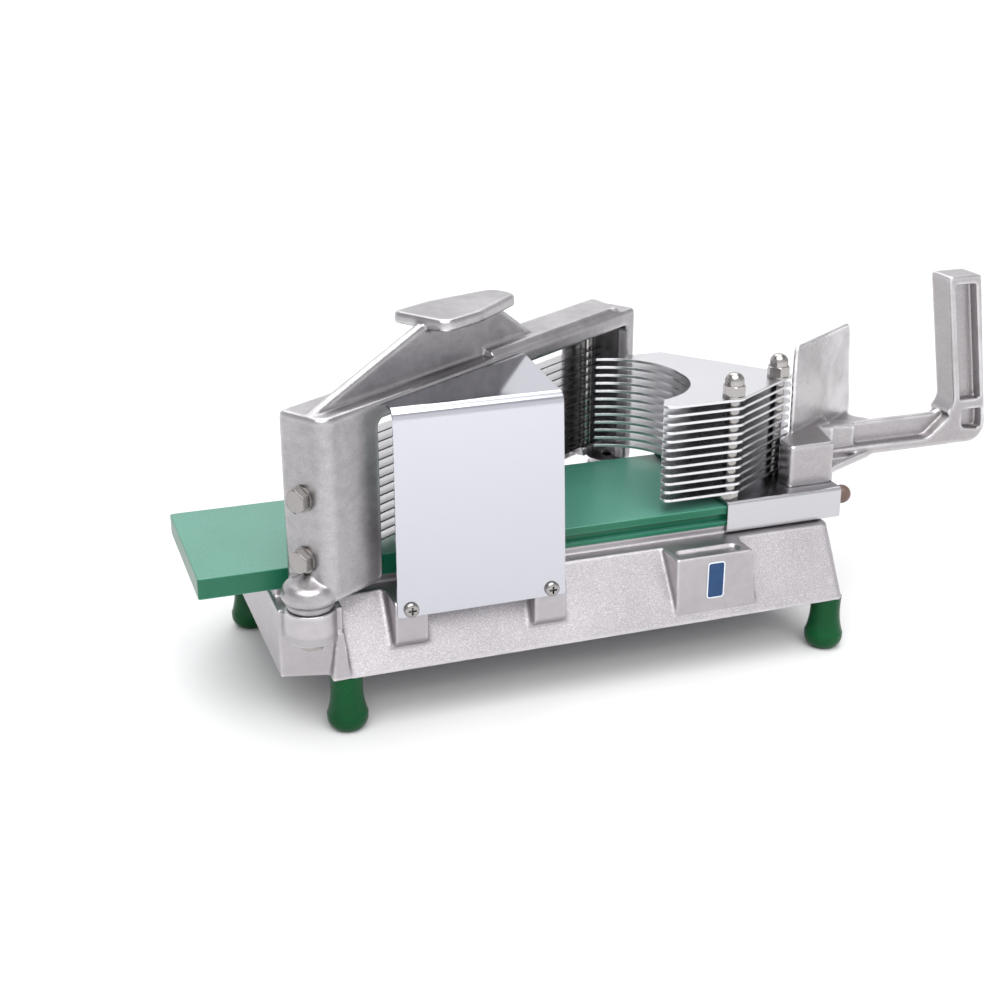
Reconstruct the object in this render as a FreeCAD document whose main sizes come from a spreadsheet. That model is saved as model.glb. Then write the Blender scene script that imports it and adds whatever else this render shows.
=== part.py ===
import FreeCAD, Part
import Sketcher
import math
import os
from FreeCAD import Placement, Rotation, Vector

# Hand-pushed slicer: a cast base on four feet, a plastic slide board,
# a slanted cast frame with thirteen blades, and a pusher that slides along
# the board. Lengths are millimetres. Everything is drawn from the near left
# foot's centre on the table (X along the board, Y away from the front, Z up)
# and then moved so that zero is the middle of the footprint.

doc = FreeCAD.newDocument("slicer")
sheet = doc.addObject("Spreadsheet::Sheet", "Sizes")


class Size:
    """A number together with the spreadsheet expression that gives it."""

    def __init__(self, text, value):
        self.text = text
        self.value = float(value)

    def join(self, other, sign, swap=False):
        o = other if isinstance(other, Size) else Size(repr(float(other)), other)
        a, b = (o, self) if swap else (self, o)
        v = {"+": a.value + b.value, "-": a.value - b.value,
             "*": a.value * b.value, "/": a.value / b.value if b.value else 0.0}[sign]
        return Size("(%s %s %s)" % (a.text, sign, b.text), v)

    def __add__(self, o): return self.join(o, "+")
    def __radd__(self, o): return self.join(o, "+", True)
    def __sub__(self, o): return self.join(o, "-")
    def __rsub__(self, o): return self.join(o, "-", True)
    def __mul__(self, o): return self.join(o, "*")
    def __rmul__(self, o): return self.join(o, "*", True)
    def __truediv__(self, o): return self.join(o, "/")
    def __neg__(self): return self.join(-1.0, "*")
    def __float__(self): return self.value


sheet_row = [0]


def size(name, value, note=""):
    sheet_row[0] += 1
    r = sheet_row[0]
    sheet.set("A%d" % r, name)
    sheet.set("B%d" % r, repr(float(value)))
    sheet.set("C%d" % r, note)
    sheet.setAlias("B%d" % r, name)
    return Size("Sizes.%s" % name, value)


# ---- driving sizes ---------------------------------------------------------
origin_x = size("origin_x", 197.9, "middle of the footprint")
origin_y = size("origin_y", 76.4, "centre plane of the board")
foot_height = size("foot_height", 35, "rubber foot")
foot_top_radius = size("foot_top_radius", 9.6)
foot_lip_radius = size("foot_lip_radius", 12.1)
foot_left_x = size("foot_left_x", 0, "front left foot")
foot_back_left_x = size("foot_back_left_x", -27.6)
foot_right_x = size("foot_right_x", 315.3)
foot_back_y = size("foot_back_y", 152.7)
screw_radius = size("screw_radius", 2.5, "M5 screws")
base_left = size("base_left", -36.6)
base_right = size("base_right", 323)
base_front = size("base_front", -9.5)
base_back = size("base_back", 162.3)
ledge_front = size("ledge_front", 15.6)
ledge_back = size("ledge_back", 137.2)
ledge_height = size("ledge_height", 77)
seat_height = size("seat_height", 82.2, "underside of the board")
wall = size("wall", 5, "casting wall")
boss_radius = size("boss_radius", 14.5, "sockets for the frame plugs")
boss_bottom = size("boss_bottom", 63)
boss_top = size("boss_top", 82)
plug_radius = size("plug_radius", 12.5)
board_left = size("board_left", -77.2)
board_right = size("board_right", 326)
board_width = size("board_width", 105)
board_thick = size("board_thick", 12.5)
groove_low = size("groove_low", 84.5)
groove_high = size("groove_high", 90.1)
groove_deep = size("groove_deep", 4)
groove_left = size("groove_left", 72, "closed end of the side grooves")
frame_angle = size("frame_angle", 33.2, "blade frame against the board, degrees")
frame_x = size("frame_x", -19.9, "near plug centre")
frame_y = size("frame_y", -5.3)
frame_span = size("frame_span", 298.4, "plug to plug")
far_x = size("far_x", 229.79, "far plug centre, along the board")
far_y = size("far_y", 158.09)
frame_end = size("frame_end", 303.6, "far end face, frame axes")
frame_front = size("frame_front", -16.5, "front face, frame axes")
frame_back = size("frame_back", 17)
frame_top = size("frame_top", 194)
bolt_y = size("bolt_y", 0.8, "tension bolts, frame axes")
frame_foot = size("frame_foot", 88)
window_left = size("window_left", 43)
window_right = size("window_right", 294.5)
window_top = size("window_top", 183.4)
blade_low = size("blade_low", 100.15, "lowest blade, middle")
blade_pitch = size("blade_pitch", 5.5, "7/32 inch slices")
blade_thick = size("blade_thick", 0.5)
blade_front = size("blade_front", 3)
blade_back = size("blade_back", 12.5)
pin_near = size("pin_near", 24)
pin_far = size("pin_far", 281.7)
pin_radius = size("pin_radius", 2.5)
collar_radius = size("collar_radius", 4.4, "blade spacers")
guard_front = size("guard_front", -8.5)
guard_thick = size("guard_thick", 1.5)
slide_left = size("slide_left", 253)
slide_right = size("slide_right", 334)
slide_top = size("slide_top", 98)
slide_thick = size("slide_thick", 2)
flange_thick = size("flange_thick", 1.8)
slide_skirt = size("slide_skirt", 78.3)
slide_gap = size("slide_gap", 0.3, "board to flange")
plate_low = size("plate_low", 102.9, "lowest pusher plate, middle")
plate_thick = size("plate_thick", 1.8)
stud_radius = size("stud_radius", 3.2)
stud_front_x = size("stud_front_x", 257.5)
stud_front_y = size("stud_front_y", 31.2)
stud_back_x = size("stud_back_x", 303.6)
stud_back_y = size("stud_back_y", 58.8)
spacer_radius = size("spacer_radius", 4.3)
block_height = size("block_height", 125.4)
arm_front = size("arm_front", 65.8)
arm_back = size("arm_back", 87)
grip_top = size("grip_top", 217.5)
sheet.recompute()

# ---- drawing helpers -------------------------------------------------------
parts = []


def num(v):
    return float(v)


def straight_place():
    return Placement(Vector(-num(origin_x), -num(origin_y), 0), Rotation())


def frame_place():
    return Placement(Vector(num(frame_x) - num(origin_x), num(frame_y) - num(origin_y), 0),
                     Rotation(Vector(0, 0, 1), num(frame_angle)))


def new_body(label, slanted=False):
    b = doc.addObject("PartDesign::Body", label)
    b.Label = label
    b.AllowCompound = True
    b.Placement = frame_place() if slanted else straight_place()
    if not slanted:
        b.setExpression("Placement.Base.x", "-Sizes.origin_x")
        b.setExpression("Placement.Base.y", "-Sizes.origin_y")
    parts.append(b)
    return b


def plane(body, role):
    return [o for o in body.Origin.OriginFeatures if o.Role == role][0]


def new_sketch(body, role="XY_Plane", height=0.0, spin=None, shift=(0.0, 0.0)):
    sk = body.newObject("Sketcher::SketchObject", body.Label + "_sketch")
    sk.AttachmentSupport = [(plane(body, role), "")]
    sk.MapMode = "FlatFace"
    rot = Rotation(Vector(*spin[0]), spin[1]) if spin else Rotation()
    sk.AttachmentOffset = Placement(Vector(num(shift[0]), num(shift[1]), num(height)), rot)
    if isinstance(height, Size):
        sk.setExpression("AttachmentOffset.Base.z", height.text)
    return sk


def fix_point(sk, gid, pos, x, y):
    for kind, v in (("DistanceX", x), ("DistanceY", y)):
        if abs(num(v)) < 1e-9 and not isinstance(v, Size):
            ref = -2 if kind == "DistanceX" else -1
            sk.addConstraint(Sketcher.Constraint("PointOnObject", gid, pos, ref))
            continue
        c = sk.addConstraint(Sketcher.Constraint(kind, -1, 1, gid, pos, num(v)))
        if isinstance(v, Size):
            sk.setExpression("Constraints[%d]" % c, v.text)


def outline(sk, pts):
    """A closed outline. Each entry is (x, y), or (mx, my, x, y) for an arc
    through (mx, my) that ends at (x, y)."""
    ends = [p[-2:] for p in pts]
    first = None
    prev = None
    n = len(pts)
    for i in range(n):
        a = ends[i]
        nxt = pts[(i + 1) % n]
        b = nxt[-2:]
        pa, pb = Vector(num(a[0]), num(a[1]), 0), Vector(num(b[0]), num(b[1]), 0)
        if len(nxt) == 4:
            arc = Part.Arc(pa, Vector(num(nxt[0]), num(nxt[1]), 0), pb)
            gid = sk.addGeometry(arc, False)
            start = 1 if (sk.getPoint(gid, 1) - pa).Length < 1e-6 else 2
            rad = sk.Geometry[gid].Radius
        else:
            gid = sk.addGeometry(Part.LineSegment(pa, pb), False)
            start, rad = 1, None
        end = 3 - start
        if prev is not None:
            sk.addConstraint(Sketcher.Constraint("Coincident", prev[0], prev[1], gid, start))
        else:
            first = (gid, start)
        fix_point(sk, gid, start, a[0], a[1])
        if rad is not None:
            sk.addConstraint(Sketcher.Constraint("Radius", gid, rad))
        prev = (gid, end)
    sk.addConstraint(Sketcher.Constraint("Coincident", prev[0], prev[1], first[0], first[1]))


def soft_outline(sk, pts):
    """A closed outline of straight sides. Each corner is (x, y, radius)."""
    n = len(pts)
    out = []
    for i in range(n):
        p = Vector(num(pts[i][0]), num(pts[i][1]), 0)
        r = pts[i][2]
        if not r:
            out.append((p.x, p.y))
            continue
        a = (Vector(num(pts[i - 1][0]), num(pts[i - 1][1]), 0) - p).normalize()
        c = (Vector(num(pts[(i + 1) % n][0]), num(pts[(i + 1) % n][1]), 0) - p).normalize()
        half = a.getAngle(c) / 2.0
        start, end = p + a * (r / math.tan(half)), p + c * (r / math.tan(half))
        middle = p + (a + c).normalize() * (r / math.sin(half) - r)
        out.append((start.x, start.y))
        out.append((middle.x, middle.y, end.x, end.y))
    outline(sk, out)


def rectangle(sk, x0, y0, x1, y1):
    outline(sk, [(x0, y0), (x1, y0), (x1, y1), (x0, y1)])


def circle(sk, x, y, r):
    gid = sk.addGeometry(Part.Circle(Vector(num(x), num(y), 0), Vector(0, 0, 1), num(r)), False)
    fix_point(sk, gid, 3, x, y)
    c = sk.addConstraint(Sketcher.Constraint("Radius", gid, num(r)))
    if isinstance(r, Size):
        sk.setExpression("Constraints[%d]" % c, r.text)


def hexagon(sk, x, y, flats, turn=0.0):
    r = num(flats) / math.sqrt(3)
    pts = []
    for i in range(6):
        a = math.radians(turn + 60 * i)
        pts.append((num(x) + r * math.cos(a), num(y) + r * math.sin(a)))
    outline(sk, pts)


def set_len(f, prop, v):
    setattr(f, prop, num(v))
    if isinstance(v, Size):
        f.setExpression(prop, v.text)


def checked(body, f, grows):
    doc.recompute()
    if "Invalid" in f.State or "Error" in f.State or f.Shape.isNull():
        raise RuntimeError("feature failed: %s %s" % (body.Label, f.Name))
    base = f.BaseFeature.Shape.Volume if f.BaseFeature else 0.0
    if grows and not f.Shape.Volume > base + 1e-6:
        raise RuntimeError("adds nothing: %s %s" % (body.Label, f.Name))
    if not grows and not f.Shape.Volume < base - 1e-6:
        raise RuntimeError("cuts nothing: %s %s" % (body.Label, f.Name))
    return f


def pad(body, sk, length, back=False, middle=False):
    f = body.newObject("PartDesign::Pad", body.Label + "_pad")
    f.Profile = sk
    set_len(f, "Length", length)
    f.Reversed = back
    f.Midplane = middle
    sk.Visibility = False
    return checked(body, f, True)


def pocket(body, sk, length, back=False, middle=False):
    f = body.newObject("PartDesign::Pocket", body.Label + "_pocket")
    f.Profile = sk
    set_len(f, "Length", length)
    f.Reversed = back
    f.Midplane = middle
    return checked(body, f, False)


def revolve(body, sk, axis="V_Axis", cut=False):
    kind = "PartDesign::Groove" if cut else "PartDesign::Revolution"
    f = body.newObject(kind, body.Label + "_turned")
    f.Profile = sk
    f.ReferenceAxis = (sk, [axis])
    f.Angle = 360
    return checked(body, f, not cut)


def loft(body, low, high, cut=False):
    kind = "PartDesign::SubtractiveLoft" if cut else "PartDesign::AdditiveLoft"
    f = body.newObject(kind, body.Label + "_loft")
    f.Profile = low
    f.Sections = [high]
    f.Ruled = True
    return checked(body, f, not cut)


def round_edges(body, pick, radius, bevel=False):
    """Rounds (or bevels) the edges of the newest feature that pick names.
    An edge that the rounding can't take is left sharp."""
    base = body.Tip
    names = ["Edge%d" % (i + 1) for i, e in enumerate(base.Shape.Edges) if pick(e)]
    if not names:
        raise RuntimeError("no edges: " + body.Label)
    f = body.newObject("PartDesign::Chamfer" if bevel else "PartDesign::Fillet",
                       body.Label + ("_bevel" if bevel else "_round"))
    f.Base = (base, names)
    set_len(f, "Size" if bevel else "Radius", radius)
    doc.recompute()
    if "Invalid" in f.State or "Error" in f.State or f.Shape.isNull() or not f.Shape.isValid():
        raise RuntimeError("rounding failed: %s %d edges" % (body.Label, len(names)))
    return f


def mid(e):
    p = e.valueAt((e.FirstParameter + e.LastParameter) / 2.0)
    return p


def is_line(e):
    return e.Curve.TypeId == "Part::GeomLine"


def direction(e):
    a, b = e.valueAt(e.FirstParameter), e.valueAt(e.LastParameter)
    d = b - a
    return d.normalize() if d.Length > 1e-9 else d


def upright(e):
    return is_line(e) and abs(direction(e).z) > 0.999


def near(p, x=None, y=None, z=None, tol=0.6):
    return ((x is None or abs(p.x - x) < tol) and (y is None or abs(p.y - y) < tol)
            and (z is None or abs(p.z - z) < tol))


# ---- base casting ----------------------------------------------------------
# A hollow casting, open below. The long sides slope out from the machined
# ledge to the foot line; the near left corner is cut back for the socket.
b = new_body("base_casting")
sk = new_sketch(b, "YZ_Plane", height=base_left)
outline(sk, [(base_front, foot_height), (ledge_front, ledge_height), (ledge_back, ledge_height),
             (base_back, foot_height)])
pad(b, sk, base_right - base_left)
round_edges(b, lambda e: is_line(e) and abs(direction(e).x) < 0.01 and abs(direction(e).z) > 0.3
            and not near(mid(e), x=-36.6, y=3.05, tol=1.5), 5)
# the near left corner, cut back in plan and filled up to the ledge
sk = new_sketch(b, height=ledge_height)
outline(sk, [(-60, -30), (-0.5, -30), (-0.5, 20), (-60, 20)])
pocket(b, sk, 60)
sk = new_sketch(b, height=foot_height)
outline(sk, [(base_left, 6.3), (-10, -0.5), (-0.5, -0.5), (-0.5, 20), (base_left, 20)])
pad(b, sk, ledge_height - foot_height)
# seat for the board
sk = new_sketch(b, height=ledge_height)
rectangle(sk, base_left + 2.6, 24.5, base_right - 2.6, 128.2)
pad(b, sk, seat_height - ledge_height)
# sockets for the frame plugs, each on a bracket from the wall
sk = new_sketch(b, height=boss_bottom)
circle(sk, frame_x, frame_y, boss_radius)
circle(sk, far_x, far_y, boss_radius)
pad(b, sk, boss_top - boss_bottom)
sk = new_sketch(b, height=boss_bottom)
outline(sk, [(-34.4, -5.3), (-5.4, -5.3), (-5.4, 12), (-34.4, 12)])
outline(sk, [(215.3, 132), (244.3, 132), (244.3, 158.1), (215.3, 158.1)])
pad(b, sk, ledge_height - boss_bottom)
# pillar over the near left foot, narrower towards its top
low = new_sketch(b, height=foot_height)
outline(low, [(-10, -9.5), (1, -9.5), (1, 12), (-10, 12)])
high = new_sketch(b, height=62)
outline(high, [(-5, -2.6), (-0.4, -2.6), (-0.4, 12), (-5, 12)])
loft(b, low, high)
# two bosses that carry the front guard
for cx in (38.2, 123.3):
    sk = new_sketch(b, "YZ_Plane", height=cx)
    outline(sk, [(18, ledge_height), (-3.2, ledge_height), (-5.9, 75.9, -7, 73.2), (-7, 52.5),
                 (-4.8, 49.6, 0, 46.4), (18, 46.4)])
    pad(b, sk, 20, middle=True)
# their sides run out into the wall
round_edges(b, lambda e: is_line(e) and abs(direction(e).x) < 0.01 and 0.4 < abs(direction(e).y) < 0.6
            and min(abs(mid(e).x - v) for v in (28.2, 48.2, 113.3, 133.3)) < 0.05, 3.0)
# pad for the name plate, level with the ledge
sk = new_sketch(b, "XZ_Plane", height=6.0)
outline(sk, [(206.6, 39.5), (261, 39.5), (256.8, ledge_height), (205.3, ledge_height)])
pad(b, sk, 24, back=True)
# bare recess in its top
sk = new_sketch(b, height=ledge_height)
outline(sk, [(209.5, -2.2), (249, -2.2), (251, -0.2), (251, 5.4), (249, 7.4), (211.5, 7.4), (209.5, 5.4)])
pocket(b, sk, 2.2)
# hollow
low = new_sketch(b, height=foot_height - 0.5)
outline(low, [(base_left + wall, 12), (-4, 8), (5, base_front + wall), (base_right - wall, base_front + wall),
              (base_right - wall, base_back - wall), (base_left + wall, base_back - wall)])
high = new_sketch(b, height=ledge_height - wall)
outline(high, [(base_left + wall + 2, 20), (-4, 20), (5, ledge_front + wall), (base_right - wall - 2, ledge_front + wall),
               (base_right - wall - 2, ledge_back - wall), (base_left + wall + 2, ledge_back - wall)])
loft(b, low, high, cut=True)
sk = new_sketch(b, height=ledge_height - wall - 0.5)
rectangle(sk, base_left + 10, 30, base_right - 10, 123)
pocket(b, sk, seat_height - ledge_height + 0.5, back=True)
# foot pads and screw bosses inside
sk = new_sketch(b, height=foot_height)
circle(sk, foot_left_x + 3.4, 1.6, 7.4)
circle(sk, foot_right_x - 0.6, 1.6, 7.4)
circle(sk, foot_back_left_x + 0.6, foot_back_y - 0.6, 7.4)
circle(sk, foot_right_x - 0.6, foot_back_y - 0.6, 7.4)
pad(b, sk, 5)
sk = new_sketch(b, height=foot_height - 0.5)
for fx, fy in ((foot_left_x, 0), (foot_right_x, 0), (foot_back_left_x, foot_back_y), (foot_right_x, foot_back_y)):
    circle(sk, fx, fy, screw_radius)
pocket(b, sk, 11.5, back=True)
# board screw holes, guard screw holes
sk = new_sketch(b, height=seat_height)
for bx in (22, 292):
    for by in (50, 103):
        circle(sk, bx, by, screw_radius)
pocket(b, sk, 14)
sk = new_sketch(b, "XZ_Plane", height=8.0)
circle(sk, 37.4, 72.6, 2.0)
circle(sk, 123.1, 72.6, 2.0)
pocket(b, sk, 11)
# plug sockets and the bolt holes under them
sk = new_sketch(b, height=boss_top)
circle(sk, frame_x, frame_y, plug_radius)
circle(sk, far_x, far_y, plug_radius)
pocket(b, sk, 15)
sk = new_sketch(b, height=boss_bottom)
circle(sk, frame_x, frame_y, 4)
circle(sk, far_x, far_y, 4)
pocket(b, sk, 5, back=True)

# ---- feet ------------------------------------------------------------------
for label, fx, fy in (("foot_front_left", foot_left_x, 0), ("foot_front_right", foot_right_x, 0),
                      ("foot_rear_left", foot_back_left_x, foot_back_y), ("foot_rear_right", foot_right_x, foot_back_y)):
    b = new_body(label)
    sk = new_sketch(b, "XZ_Plane")
    outline(sk, [(2.5, foot_height), (foot_top_radius, foot_height), (foot_top_radius - 0.2, 27.5),
                 (9.95, 18.5, 11.65, 11), (foot_lip_radius, 10.0), (foot_lip_radius, 8.2),
                 (11.2, 3.7, 8.4, 0.5), (7.4, 0), (5.5, 0), (5.5, 11), (2.5, 11)])
    revolve(b, sk)
    b.Placement = Placement(Vector(num(fx) - num(origin_x), num(fy) - num(origin_y), 0), Rotation())
    b.setExpression("Placement.Base.x", (fx - origin_x).text if isinstance(fx, Size) else "-Sizes.origin_x")
    b.setExpression("Placement.Base.y", (fy - origin_y).text if isinstance(fy, Size) else "-Sizes.origin_y")

b = new_body("foot_screws")
feet = ((foot_left_x, 0), (foot_right_x, 0), (foot_back_left_x, foot_back_y), (foot_right_x, foot_back_y))
sk = new_sketch(b, height=11)
for fx, fy in feet:
    circle(sk, fx, fy, screw_radius)
pad(b, sk, 34)
sk = new_sketch(b, height=7)
for fx, fy in feet:
    circle(sk, fx, fy, 4.8)
pad(b, sk, 4)
sk = new_sketch(b, height=7)
for fx, fy in feet:
    rectangle(sk, num(fx) - 3.6, num(fy) - 0.5, num(fx) + 3.6, num(fy) + 0.5)
pocket(b, sk, 1.2, back=True)

# ---- slide board -----------------------------------------------------------
b = new_body("slide_board")
board_front = origin_y - board_width / 2
board_back = origin_y + board_width / 2
sk = new_sketch(b, height=seat_height)
rectangle(sk, board_left, board_front, board_right, board_back)
pad(b, sk, board_thick)
round_edges(b, upright, 1.5)
sk = new_sketch(b, "YZ_Plane", height=groove_left)
rectangle(sk, board_front - 1, groove_low, board_front + groove_deep, groove_high)
rectangle(sk, board_back - groove_deep, groove_low, board_back + 1, groove_high)
pocket(b, sk, 300, back=True)
sk = new_sketch(b, height=seat_height)
for bx in (22, 292):
    for by in (50, 103):
        circle(sk, bx, by, screw_radius)
pocket(b, sk, 8, back=True)
sk = new_sketch(b, "YZ_Plane", height=board_right)
circle(sk, 31.2, 89.5, 2.2)
pocket(b, sk, 8)
round_edges(b, lambda e: is_line(e) and near(mid(e), z=94.7, tol=0.05) and abs(direction(e).z) < 0.1
            and not near(mid(e), x=326, tol=0.1), 0.8)

b = new_body("board_screws")
sk = new_sketch(b, height=77.2)
for bx in (22, 292):
    for by in (50, 103):
        circle(sk, bx, by, screw_radius)
pad(b, sk, 12.8)
sk = new_sketch(b, height=73.4)
for bx in (22, 292):
    for by in (50, 103):
        circle(sk, bx, by, 4.6)
pad(b, sk, 3.8)
sk = new_sketch(b, height=73.4)
for bx in (22, 292):
    for by in (50, 103):
        hexagon(sk, bx, by, 4)
pocket(b, sk, 2.4, back=True)

b = new_body("end_bumper")
sk = new_sketch(b, "XZ_Plane", height=-31.2, shift=(0, 89.5))
outline(sk, [(318.2, 0), (318.2, 2.2), (326, 2.2), (326, 5.8), (338.3, 5.8), (344.3, 4.4, 346.2, 0.7), (346.2, 0)])
revolve(b, sk, "H_Axis")

# ---- label, guard ----------------------------------------------------------
b = new_body("label_plate")
sk = new_sketch(b, "XZ_Plane", height=6.0)
rectangle(sk, 226.2, 48.6, 238.0, 72.6)
pad(b, sk, 0.35)
round_edges(b, lambda e: is_line(e) and abs(direction(e).y) > 0.99, 2.2)

b = new_body("front_guard")
sk = new_sketch(b, "XZ_Plane", height=-(guard_front + guard_thick))
outline(sk, [(30.5, 68), (131.0, 68), (131.8, 69), (129, 185.8), (29.4, 185.8), (29.4, 69)])
pad(b, sk, guard_thick)
sk = new_sketch(b, "YZ_Plane", height=29.4)
outline(sk, [(-6.596, 190.396, guard_front, 185.8), (guard_front + guard_thick, 185.8),
             (-5.536, 189.336, -2, 190.8), (-2, 192.3)])
pad(b, sk, 99.6)
sk = new_sketch(b, height=190.8)
outline(sk, [(29.4, -2), (129, -2), (129, 0), (135.6, 74.2), (29.4, 4.9)])
pad(b, sk, guard_thick)
sk = new_sketch(b, "XZ_Plane", height=9)
circle(sk, 37.4, 72.6, 2.0)
circle(sk, 123.1, 72.6, 2.0)
pocket(b, sk, 3)

b = new_body("guard_screws")
sk = new_sketch(b, "XZ_Plane", height=-(guard_front + 10))
circle(sk, 37.4, 72.6, 2.0)
circle(sk, 123.1, 72.6, 2.0)
pad(b, sk, 10)
sk = new_sketch(b, "XZ_Plane", height=-guard_front)
circle(sk, 37.4, 72.6, 4.5)
circle(sk, 123.1, 72.6, 4.5)
pad(b, sk, 2.7)
round_edges(b, lambda e: near(mid(e), y=-11.2, tol=0.05), 1.9)
sk = new_sketch(b, "XZ_Plane", height=11.4)
for sx in (37.4, 123.1):
    w, l = 0.55, 2.4
    outline(sk, [(sx - w, 72.6 - l), (sx + w, 72.6 - l), (sx + w, 72.6 - w), (sx + l, 72.6 - w), (sx + l, 72.6 + w),
                 (sx + w, 72.6 + w), (sx + w, 72.6 + l), (sx - w, 72.6 + l), (sx - w, 72.6 + w), (sx - l, 72.6 + w),
                 (sx - l, 72.6 - w), (sx - w, 72.6 - w)])
pocket(b, sk, 1.9)

# ---- blade frame -----------------------------------------------------------
# A cast portal on two plugs, slanted across the board. Its own axes: X along
# the frame, Y towards the back, zero at the near plug.
b = new_body("blade_frame", slanted=True)
sk = new_sketch(b, height=window_top)
outline(sk, [(-1, frame_front), (frame_end, frame_front), (frame_end, frame_back), (-1, frame_back)])
pad(b, sk, frame_top - window_top)
sk = new_sketch(b, height=frame_foot)
outline(sk, [(-1, frame_front), (window_left, frame_front), (window_left, frame_front + 4.5),
             (6, frame_front + 4.5), (6, frame_back), (-1, frame_back)])
outline(sk, [(window_right, frame_front), (frame_end, frame_front), (frame_end, frame_back), (264, frame_back),
             (264, frame_back - 2), (298.4, frame_back - 2), (298.4, -7.5), (window_right, -7.5)])
pad(b, sk, window_top - frame_foot)
round_edges(b, lambda e: upright(e) and near(mid(e), x=-1, y=-16.5, tol=0.1), 8)
round_edges(b, lambda e: upright(e) and near(mid(e), x=303.6, y=-16.5, tol=0.1), 3)
round_edges(b, lambda e: upright(e) and near(mid(e), x=294.5, y=-7.5, z=135.7, tol=0.2), 1.2)
round_edges(b, lambda e: upright(e) and near(mid(e), x=298.4, y=15, z=135.7, tol=0.2), 2.5)
round_edges(b, lambda e: upright(e) and (near(mid(e), x=303.6, y=17, tol=0.1) or near(mid(e), x=-1, y=17, tol=0.1)), 2.5)
round_edges(b, lambda e: is_line(e) and abs(direction(e).y) > 0.99 and near(mid(e), x=43, z=88, tol=0.05), 4)
# rounded top corners of the window
round_edges(b, lambda e: is_line(e) and abs(direction(e).y) > 0.99 and near(mid(e), z=183.4, tol=0.05)
            and (near(mid(e), x=43, tol=0.1) or near(mid(e), x=294.5, y=-12, tol=1.5)), 4)
# soft upper rim
round_edges(b, lambda e: near(mid(e), z=194, tol=0.02), 2.4)
# swelling feet that end in the plugs
sk = new_sketch(b, "XZ_Plane")
outline(sk, [(4, 67), (plug_radius - 0.2, 67), (plug_radius - 0.2, 82.4), (13.2, 82.4), (13.4, 86.2),
             (16.0, 88.9, 15.7, 92.6), (14.8, 95.8, 12.4, 97.8), (7.4, 100.0, 3.2, 103.0), (0, 103.0), (0, 88), (4, 88)])
revolve(b, sk)
sk = new_sketch(b, "XZ_Plane", shift=(frame_span, 0))
outline(sk, [(4, 67), (plug_radius - 0.2, 67), (plug_radius - 0.2, 82.4), (13.2, 82.4), (13.4, 86.2),
             (15.8, 88.5, 15.6, 91.3), (14.4, 94.4, 11.6, 95.5), (0, 95.5), (0, 88), (4, 88)])
revolve(b, sk)
# the swelling ends at the hollow of each post
sk = new_sketch(b, height=frame_foot)
rectangle(sk, 6, frame_front + 4.5, 20, frame_back + 1)
outline(sk, [(276, frame_front), (window_right, frame_front), (window_right, -7.5), (298.4, -7.5), (298.4, frame_back - 2), (276, frame_back - 2)])
pocket(b, sk, 24, back=True)
# shelf that carries the far blade pin
sk = new_sketch(b, height=92)
outline(sk, [(273, 2.6), (299.5, 2.6), (299.5, 14), (273, 14)])
pad(b, sk, 6.5)
# raised panel on the top, its front edge sloping down to the rim
sk = new_sketch(b, height=frame_top - 0.5)
outline(sk, [(150, -14.0), (282.6, -14.0), (286.2, -13.4, 288.0, -10.0), (296.0, 10.5), (295.4, 13.6, 292, 14.4), (150, 14.4)])
pad(b, sk, 3.8)
round_edges(b, lambda e: near(mid(e), z=197.3, tol=0.02) and mid(e).y < -13.5, 3.0, bevel=True)
# fin that rises to the hand rest
sk = new_sketch(b, "XZ_Plane", height=2.7)
outline(sk, [(1.8, 190), (1.8, 194.2), (104, 226.9), (150, 226.9), (166, 220.5), (212, 190)])
pad(b, sk, 6.6, middle=True)
round_edges(b, lambda e: is_line(e) and abs(direction(e).y) < 0.01 and mid(e).z > 198.5
            and abs(abs(mid(e).y + 2.7) - 3.3) < 0.02, 1.3)
# hand rest: a thick rounded plate across the fin, widest at its near end
sk = new_sketch(b, height=221.2)
soft_outline(sk, [(96.4, 20, 5), (96.4, -21.6, 7.5), (128, -22.6, 22), (176, -12.5, 9), (176, 8, 9), (128, 19.5, 22)])
pad(b, sk, 7.0)
round_edges(b, lambda e: near(mid(e), z=228.2, tol=0.02), 2.4)
# holes: tension bolts, near pin clearance is in the tension block, far pin
sk = new_sketch(b, "YZ_Plane", height=6)
circle(sk, bolt_y, 147, 4.3)
circle(sk, bolt_y, 111, 4.3)
pocket(b, sk, 8)
sk = new_sketch(b, height=189.5)
circle(sk, pin_far, 7.75, pin_radius)
pocket(b, sk, 100)

b = new_body("frame_bolts")
for cx, cy in ((frame_x, frame_y), (far_x, far_y)):
    sk = new_sketch(b, height=57.8)
    hexagon(sk, cx, cy, 13)
    pad(b, sk, 5.2)
    sk = new_sketch(b, height=63)
    circle(sk, cx, cy, 4)
    pad(b, sk, 24)

# ---- blades and what holds them -------------------------------------------
for k in range(13):
    b = new_body("blade_%02d" % (k + 1), slanted=True)
    sk = new_sketch(b, height=blade_low - blade_thick / 2 + blade_pitch * k)
    outline(sk, [(15.5, blade_front), (292, blade_front), (292, blade_back), (15.5, blade_back)])
    circle(sk, pin_near, 7.75, pin_radius)
    circle(sk, pin_far, 7.75, pin_radius)
    pad(b, sk, blade_thick)
    # ground edge
    round_edges(b, lambda e: is_line(e) and near(mid(e), y=3, tol=0.01) and abs(direction(e).x) > 0.99
                and mid(e).z > num(blade_low) + 5.5 * k, 0.22, bevel=True)

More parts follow.
